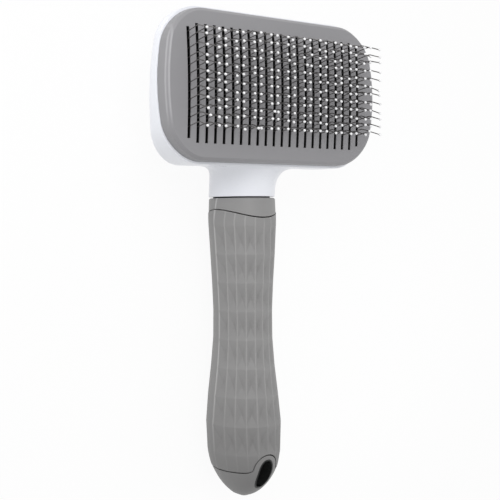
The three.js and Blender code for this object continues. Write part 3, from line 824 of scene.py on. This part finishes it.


# The hard core that the sleeve grips, all in the black finish; its spigot shows in the gap under the
# neck as painted shade.
def makeInside():
    spigot = [(s, handle["spigotSink"]) for s in (handle["spigotStart"], handle["spigotEnd"])]
    stations = stationsFrom(handle["coreStart"], handle["coreEnd"], handle["coreStep"])
    inside = handlePart("gripCore", spigot + [(s, -grip["thick"]) for s in stations], "handleGrey",
                        evenTurns(handle["coreSides"]))
    # every face takes the black finish, as painted shade in the gap under the neck
    for face in inside.data.polygons:
        face.material_index = 1
    cut(inside, holeTool(hangHole["room"]))
    return inside


def makeCollar(turns):
    start, edge, steps = handle["collarStart"], handle["collarRound"], handle["collarRoundSteps"]
    rim = [(start + edge * (1 - math.cos(t)), edge * (math.sin(t) - 1))
           for t in (math.pi / 2 * i / steps for i in range(steps + 1))]
    stations = stationsFrom(start + 2 * edge, handle["collarEnd"], handle["smoothStep"])
    collar = handlePart("handleCore", rim + [(s, 0) for s in stations], "handleGrey", turns)
    cut(collar, collarZone(0), "INTERSECT")
    return collar


def makeHeel(turns):
    heel = handlePart("heel", heelRows(0), "handleGrey", turns)
    cut(heel, heelZone(0), "INTERSECT")
    cut(heel, holeTool(hangHole["room"]))
    return roundEdges(heel, handle["heelRound"], handle["roundOver"], segments=3)


def makeHandleCore():
    smooth = partedTurns(smoothFront())
    piece = merge(makeCollar(smooth), makeHeel(smooth), makeInside())
    # the black finish for the core: painted shade in the gap under the neck
    piece.data.materials.append(finishes["frameBlack"])
    markTurns(piece)
    shadeByAngle(piece, handle["sharpOver"])
    mount(piece, "handle_and_pins", ["handle_core"])


# The faceted skin: each cell between two rows and two ridges is poked into four sunk triangles.
def gripSkin(bm):
    turns = partedTurns(facetFront())
    rows = [grip["firstRow"] + r * grip["rowPitch"] for r in range(grip["rows"] + 1)]
    upper = stationsFrom(grip["start"], rows[0], grip["upperStep"])[:-1]
    lower = stationsFrom(rows[-1], grip["end"] + grip["past"], grip["lowerStep"])[1:]
    handleLoft(bm, [(s, grip["proud"]) for s in [*upper, *rows, *lower]], turns)
    cells = []
    for face in bm.faces:
        middle = face.calc_center_median()
        turn = math.degrees(math.atan2(middle.z - handle["axisZ"], middle.x)) - 90
        between = -rows[-1] < middle.y < -rows[0]
        if between and len(face.verts) == 4 and abs(turn) < grip["edgeTurn"]:
            cells.append(face)
    poked = bmesh.ops.poke(bm, faces=cells, offset=-grip["sink"])["verts"]
    for vert in poked:
        vert.co.y -= grip["sinkAt"] * grip["rowPitch"]


def gripBore():
    stations = stationsFrom(grip["boreStart"], grip["boreEnd"], handle["coreStep"])
    rows = [(s, grip["boreRoom"] - grip["thick"]) for s in stations]
    return handlePart("gripBore", rows, "gripGrey", evenTurns(handle["coreSides"]))


def makeGripSleeve():
    bm = bmesh.new()
    gripSkin(bm)
    piece = newObject("gripSleeve", bm, ["gripGrey"])
    roundEdges(piece, grip["ridge"], grip["roundOver"])
    cut(piece, gripBore())
    cut(piece, collarZone(grip["groove"]))
    cut(piece, heelZone(grip["groove"]))
    markTurns(piece)
    shadeByAngle(piece, grip["sharpOver"])
    mount(piece, "handle_and_pins", ["grip_sleeve"])


def makeEyelet():
    piece = handlePart("hangEyelet", heelRows(-hangHole["sink"]), "linerBlack",
                       evenTurns(hangHole["sides"]))
    cut(piece, holeTool(0), "INTERSECT")
    cut(piece, holeTool(-hangHole["wall"]))
    shadeByAngle(piece, hangHole["sharpOver"])
    mount(piece, "handle_and_pins", ["hang_eyelet"])


makeHandleCore()
makeGripSleeve()
makeEyelet()


housing = {
    "rimTop": -6.1, "rimRound": 0.35, "aboveRim": 4, "levelSteps": 4, "wall": 2.0, "dipPower": 3.7,
    # the form stays this far inside the solid's box, across and along
    "inside": (0.03, 0.01),
    "grid": 0.8, "softPasses": 6, "filletPasses": 30, "filletHalf": 27, "filletAlong": (-39.5, -25),
    "filletTop": -10.5,
    # height, how far the width and the height draw in, corner, and extra depth at the handle's side
    "levels": [
        [-6.1, 0, 0, 14, 0], [-9, 0, 0, 14, 8.5], [-12, 1, 0.2, 12, 8], [-17.5, 7, 0.4, 12, 6],
        [-24.5, 13.8, 0.6, 12, 3], [-28.8, 18.5, 1, 11.5, 1], [-31.6, 23.5, 3.2, 11, 0.4],
        [-32.7, 27, 6.2, 10, 0],
    ],
    # neck: distance, half width in front, front and back heights, half width at the back
    "neck": [
        [13.6, 16, -12, -32.9, 15], [19, 20, -9.6, -34.6, 16], [25, 22, -9, -36.3, 15.5],
        [29.2, 20.6, -9, -37.7, 14.2], [31, 17.6, -9.3, -38.5, 13.7], [33, 15.2, -9.7, -39.2, 13.4],
        [36, 13.6, -10.2, -39.8, 13.2], [44, 13.2, -10.8, -40.2, 13.2],
    ],
    "neckStep": 1.2, "neckSides": 64, "backFrom": 0.4,
    "roundOver": 60, "sharpOver": 40,
}


def shellForm(bm, halfWidth, halfHeight):
    rings = []
    levels, steps = housing["levels"], housing["levelSteps"]
    places = [[i, *row] for i, row in enumerate(levels)]
    top = [levels[0][0] + housing["aboveRim"], *levels[0][1:]]
    rows = [top] + [hermite(places, i / steps) for i in range(steps * (len(levels) - 1) + 1)]
    for z, inX, inY, corner, dip in rows:
        edges = roundedRing(bm, halfWidth - inX, halfHeight - inY, corner, z, bow=endBow)
        for vert in {v for e in edges for v in e.verts}:
            toHandle = max(0.0, (halfHeight - vert.co.y) / (2 * halfHeight))
            vert.co.z -= dip * toHandle ** housing["dipPower"]
        rings.append(edges)
    loft(bm, rings)


def neckForm(bm):
    rings = []
    first, last = housing["neck"][0][0], housing["neck"][-1][0]
    for s in stationsFrom(first, last, housing["neckStep"]):
        halfWidth, front, back, backWidth = hermite(housing["neck"], s)
        points = []
        for turn, _ in evenTurns(housing["neckSides"]):
            toBack = min(1.0, max(0.0, housing["backFrom"] - math.sin(turn)))
            wide = halfWidth + (backWidth - halfWidth) * toBack
            points.append((wide * math.cos(turn), -s,
                           (front + back) / 2 + (front - back) / 2 * math.sin(turn)))
        rings.append(ringThrough(bm, points))
    loft(bm, rings)


def soften(bm, verts, passes):
    for _ in range(passes):
        bmesh.ops.smooth_vert(bm, verts=verts, factor=0.5, use_axis_x=True, use_axis_y=True,
                              use_axis_z=True)


# Takes the voxels' steps away, and more where the neck runs into the head.
def softenShell(bm):
    soften(bm, bm.verts, housing["softPasses"])
    low, high = housing["filletAlong"]
    fillet = [v for v in bm.verts if low < v.co.y < high and v.co.z < housing["filletTop"]
              and abs(v.co.x) < housing["filletHalf"]]
    soften(bm, fillet, housing["filletPasses"])


button = {
    "halfWidth": 17, "halfHeight": 13, "corner": 9, "wall": 1.9, "back": 2.2, "edge": 1.6,
    "edgeSteps": 5, "clearance": 0.5, "wellLow": -50, "wellHigh": -20,
    "flangeLow": -30.6, "flange": 1.5, "lip": 1.5,
    # reach aside and up, radius at the foot and at the end
    "screwBoss": (0, 8.6, 2.3, 2.3), "springPeg": (9, 0, 2.3, 1.9), "pegEnd": 5, "pillarStart": 1,
    "grooves": (-9, -6.5, 6.5, 9), "grooveHalf": 9, "grooveDeep": 0.8,
    "sides": 24, "sharpOver": 35,
}


# The button's outline, grown or shrunk, as a solid between two heights.
def buttonForm(name, grow, low, high, materials=()):
    bm = bmesh.new()
    face = fill(bm, roundedRing(bm, button["halfWidth"] + grow, button["halfHeight"] + grow,
                                button["corner"] + grow, low))
    pullUp(bm, face, high - low)
    return newObject(name, bm, materials)


# The housing as one closed form, before it is made hollow.
def housingForm(bm):
    low, high = boxInHead("rear_housing")
    across, along = housing["inside"]
    shellForm(bm, high.x - across, high.y - along)
    neckForm(bm)
    bmesh.ops.recalc_face_normals(bm, faces=bm.faces)


def makeHousing():
    bm = bmesh.new()
    housingForm(bm)
    piece = newObject("rearHousing", bm, ["shellWhite"])
    modify(piece, "REMESH", mode="VOXEL", voxel_size=housing["grid"])
    settle(piece)
    bm = bmesh.new()
    bm.from_mesh(piece.data)
    softenShell(bm)
    sliceBy(bm, (0, 0, housing["rimTop"]), (0, 0, 1), clear_outer=True)
    ends = sliceBy(bm, (0, -handle["neckEnd"], 0), (0, -1, 0), clear_outer=True)["geom_cut"]
    bmesh.ops.contextual_create(bm, geom=edgesIn(ends))
    bmesh.ops.recalc_face_normals(bm, faces=bm.faces)
    bm.to_mesh(piece.data)
    bm.free()
    modify(piece, "SOLIDIFY", thickness=housing["wall"], offset=-1)
    settle(piece)
    cut(piece, buttonForm("well", button["clearance"], button["wellLow"], button["wellHigh"]))
    roundEdges(piece, housing["rimRound"], housing["roundOver"])
    shadeByAngle(piece, housing["sharpOver"])
    mount(piece, "handle_and_pins", ["rear_housing"])


makeHousing()


# The pillars inside the button: two for its screws, two for the springs.
def buttonPillars(low, high):
    bm = bmesh.new()
    start = low + button["pillarStart"]
    ends = {"screwBoss": high, "springPeg": low + button["pegEnd"]}
    for key, end in ends.items():
        x, y, foot, tip = button[key]
        for side in (-1, 1):
            spot = Matrix.Translation((side * x, side * y, (end + start) / 2))
            bmesh.ops.create_cone(bm, cap_ends=True, segments=button["sides"], radius1=foot,
                                  radius2=tip, depth=end - start, matrix=spot)
    return newObject("pillars", bm, [])


def roundBack(piece, low):
    bm = bmesh.new()
    bm.from_mesh(piece.data)
    outer = [e for e in bm.edges if all(abs(v.co.z - low) < mm for v in e.verts)]
    bmesh.ops.bevel(bm, geom=outer, offset=button["edge"], segments=button["edgeSteps"], profile=0.5,
                    affect="EDGES", material=-1)
    bmesh.ops.recalc_face_normals(bm, faces=bm.faces)
    bm.to_mesh(piece.data)
    bm.free()


def makeButton():
    low, high = boxInHead("thumb_button")
    flangeLow, top = button["flangeLow"], button["flangeLow"] + button["flange"]
    piece = buttonForm("thumbButton", 0, low.z, top, ["buttonGrey"])
    roundBack(piece, low.z)
    cut(piece, buttonForm("lip", button["lip"], flangeLow, top), "UNION")
    cut(piece, buttonForm("hollow", -button["wall"], low.z + button["back"], top + 1))
    cut(piece, buttonPillars(low.z, high.z), "UNION")
    sides, deep = button["sides"], button["grooveDeep"]
    size = Matrix.Diagonal((button["grooveHalf"], deep, deep, 1))
    for y in button["grooves"]:
        tool = bmesh.new()
        bmesh.ops.create_uvsphere(tool, u_segments=sides, v_segments=sides // 2, radius=1,
                                  matrix=Matrix.Translation((0, y, low.z)) @ size)
        cut(piece, newObject("groove", tool, []))
    shadeByAngle(piece, button["sharpOver"])
    mount(piece, "ejector", ["thumb_button"])


makeButton()


spring = {"radius": 3.3, "wire": 0.4, "curls": 7, "endClimb": 1.3, "sides": 10, "stepsPerCurl": 28,
          "sharpOver": 60}


# A spring's solid wire: one flat curl at each end and even ones between.
def springForm(bm, low, high):
    wire, radius = spring["wire"], spring["radius"]
    climb = high.z - low.z - 2 * wire
    inner = spring["curls"] - 2
    perCurl = (climb - 2 * spring["endClimb"]) / inner
    stand = Matrix.Translation((radius, 0, low.z + wire)) @ Matrix.Rotation(math.pi / 2, 4, "X")
    ring = bmesh.ops.create_circle(bm, segments=spring["sides"], radius=wire, matrix=stand)
    section = edgesOf(ring["verts"])
    start = section
    for turns, rise in ((1, spring["endClimb"]), (inner, perCurl), (1, spring["endClimb"])):
        steps = turns * spring["stepsPerCurl"]
        spun = bmesh.ops.spin(bm, geom=section, cent=(0, 0, 0), axis=(0, 0, 1),
                              dvec=(0, 0, rise / spring["stepsPerCurl"]), angle=2 * math.pi * turns,
                              steps=steps)["geom_last"]
        section = edgesIn(spun)
    bmesh.ops.contextual_create(bm, geom=start)
    bmesh.ops.contextual_create(bm, geom=section)
    bmesh.ops.translate(bm, verts=bm.verts, vec=((low.x + high.x) / 2, 0, 0))
    bmesh.ops.recalc_face_normals(bm, faces=bm.faces)


# The plate's stroke squeezes a spring from its top; here the spring only gets a mesh of its own.
def squeeze(piece):
    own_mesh(piece)


def makeSpring(name, node):
    bm = bmesh.new()
    springForm(bm, *boxInHead(node))
    piece = newObject(name, bm, ["springSteel"])
    shadeByAngle(piece, spring["sharpOver"])
    mount(piece, "handle_and_pins", [node])
    squeeze(piece)


makeSpring("springLeft", "return_spring_left")
makeSpring("springRight", "return_spring_right")


carried = {"pin_board": "frameBlack", "lifter_frame": "frameBlack"}
for name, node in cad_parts.items():
    finish = carried.get(name, "screwSteel" if "screw" in name else None)
    if finish:
        node.data.materials.clear()
        node.data.materials.append(finishes[finish])
print("carried over:", sum("screw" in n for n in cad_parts) + len(carried))


# size and depth below the part in metres, size of its faint patches in millimetres
floorLook = {"size": 3.0, "below": 0.0002, "patch": 60, "dark": 0.86, "light": 0.88, "glow": 0.93,
             "roughness": 0.9}
skyLevel = 0.655
# direction from the head, then distance, width and length in metres, and power
lamps = {
    "nearLamp": ((-0.5, 0.5, 1.0), 0.4, 0.3, 0.3, 0.79),
    "sideLamp": ((-1.0, 0.45, 0.15), 0.4, 0.3, 0.3, 0.3),
    "rightLamp": ((1.0, 0.1, 0.15), 1.0, 0.3, 1.0, 0.4),
    "lowLamp": ((0.7, -0.9, 0.5), 0.2, 0.1, 0.1, 0.04),
}


def makeFloor():
    finish = Finish("floorWhite", floorLook["roughness"])
    patches = finish.noise(floorLook["patch"])
    greys = [(floorLook[key],) * 3 for key in ("dark", "light")]
    finish.set("Base Color", finish.blendColors(patches, *greys))
    path = finish.node("ShaderNodeLightPath", output="Is Camera Ray")
    mirror = finish.node("ShaderNodeLightPath", output="Is Glossy Ray")
    glow = finish.node("ShaderNodeEmission", None, {"Color": (1, 1, 1, 1), "Strength": 1.0})
    mixed = finish.node("ShaderNodeMixShader", None, {0: floorLook["glow"] * (path + mirror)})
    tree = finish.tree
    tree.links.new(finish.shader.outputs[0], mixed.socket.node.inputs[1])
    tree.links.new(glow.socket, mixed.socket.node.inputs[2])
    tree.links.new(mixed.socket, tree.nodes["Material Output"].inputs["Surface"])
    bm = bmesh.new()
    bmesh.ops.create_grid(bm, x_segments=2, y_segments=2, size=floorLook["size"] / 2)
    floor = newObject("floor", bm, [])
    floor.data.materials.append(finish.material)
    floor.location.z = -floorLook["below"]


def makeWorld(strength):
    world = bpy.data.worlds.new("studio")
    world.use_nodes = True
    bpy.context.scene.world = world
    tree = world.node_tree
    path = tree.nodes.new("ShaderNodeLightPath")
    level = tree.nodes.new("ShaderNodeMix")
    level.inputs["A"].default_value = strength
    level.inputs["B"].default_value = 1.0
    tree.links.new(path.outputs["Is Camera Ray"], level.inputs["Factor"])
    tree.links.new(level.outputs["Result"], tree.nodes["Background"].inputs["Strength"])
    tree.nodes["Background"].inputs["Color"].default_value = (1, 1, 1, 1)


# A soft rectangular lamp that faces the head.
def makeLamp(name, direction, distance, width, length, power):
    lamp = bpy.data.lights.new(name, "AREA")
    lamp.shape = "RECTANGLE"
    lamp.size = width
    lamp.size_y = length
    lamp.energy = power
    thing = bpy.data.objects.new(name, lamp)
    toward = Vector(direction).normalized()
    thing.location = headMiddle + toward * distance
    thing.rotation_euler = toward.to_track_quat("Z", "Y").to_euler()
    bpy.context.scene.collection.objects.link(thing)


# The camera as fitted to the photograph: turned round the head's Y axis, tilted, rolled, and
# moved aside, up and away from the middle of the slots, in millimetres.
view = {"turn": 36.70, "tilt": 1.80, "roll": 0.44, "aside": 11.31, "up": 63.08, "away": 394.20,
        "lens": 72.0, "sensor": 36}


def makeCamera():
    camera = bpy.data.cameras.new("camera")
    camera.sensor_width = view["sensor"]
    camera.lens = view["lens"]
    thing = bpy.data.objects.new("camera", camera)
    turned = (Matrix.Rotation(math.radians(view["roll"]), 4, "Z")
              @ Matrix.Rotation(math.radians(view["tilt"]), 4, "X")
              @ Matrix.Rotation(math.radians(view["turn"]), 4, "Y"))
    moved = Matrix.Translation((view["aside"] * mm, view["up"] * mm, -view["away"] * mm))
    thing.matrix_world = Matrix.Translation(headMiddle) @ (moved @ turned).inverted()
    bpy.context.scene.collection.objects.link(thing)
    bpy.context.scene.camera = thing


makeFloor()
makeWorld(skyLevel)
for name, settings in lamps.items():
    makeLamp(name, *settings)
makeCamera()
bpy.context.scene.view_settings.view_transform = "Standard"
print("stage ready")
